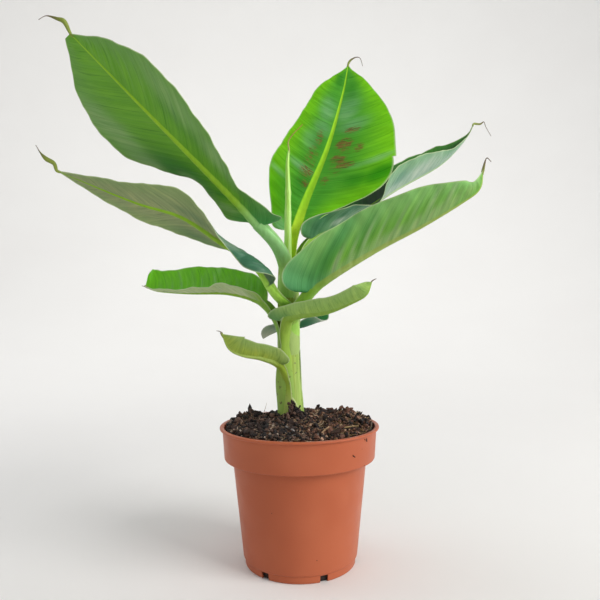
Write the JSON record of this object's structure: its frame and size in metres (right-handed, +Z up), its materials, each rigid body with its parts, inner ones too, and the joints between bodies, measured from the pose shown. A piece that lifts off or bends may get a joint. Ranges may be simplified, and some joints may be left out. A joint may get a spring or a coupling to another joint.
{
  "type": "potted banana plant",
  "caption": "Young dwarf banana plant with broad folded leaves on a sheathed stem, standing in a round tapered pot.",
  "frame": {"origin": "centre of the pot's flat underside, at the level it stands on", "axes": "+Z up along the stem, which leans a little; -Y is the plant's front, as the picture shows it, and +X its right"},
  "size_m": [0.3613, 0.1863, 0.4066],
  "materials": {
    "pot": "thin terracotta-coloured moulded plastic, slightly glossy",
    "soil": "moist coarse coir and peat potting soil",
    "stem": "smooth yellow-green rolled leaf sheaths",
    "new_leaf": "pale green rolled young leaf",
    "leaf": "satin green leaf blade with fine ribs and a paler underside"
  },
  "bodies": {
    "root": {"pot": "pot", "soil": "soil", "stem": "stem", "leaf_rolled_new": "new_leaf", "leaf_upper_left": "leaf", "leaf_centre": "leaf", "leaf_right_back": "leaf", "leaf_right_front": "leaf", "leaf_middle_left": "leaf", "leaf_lower_left": "leaf", "leaf_lower_right": "leaf", "leaf_small_back": "leaf", "leaf_small_left": "leaf"}
  },
  "joints": []
}
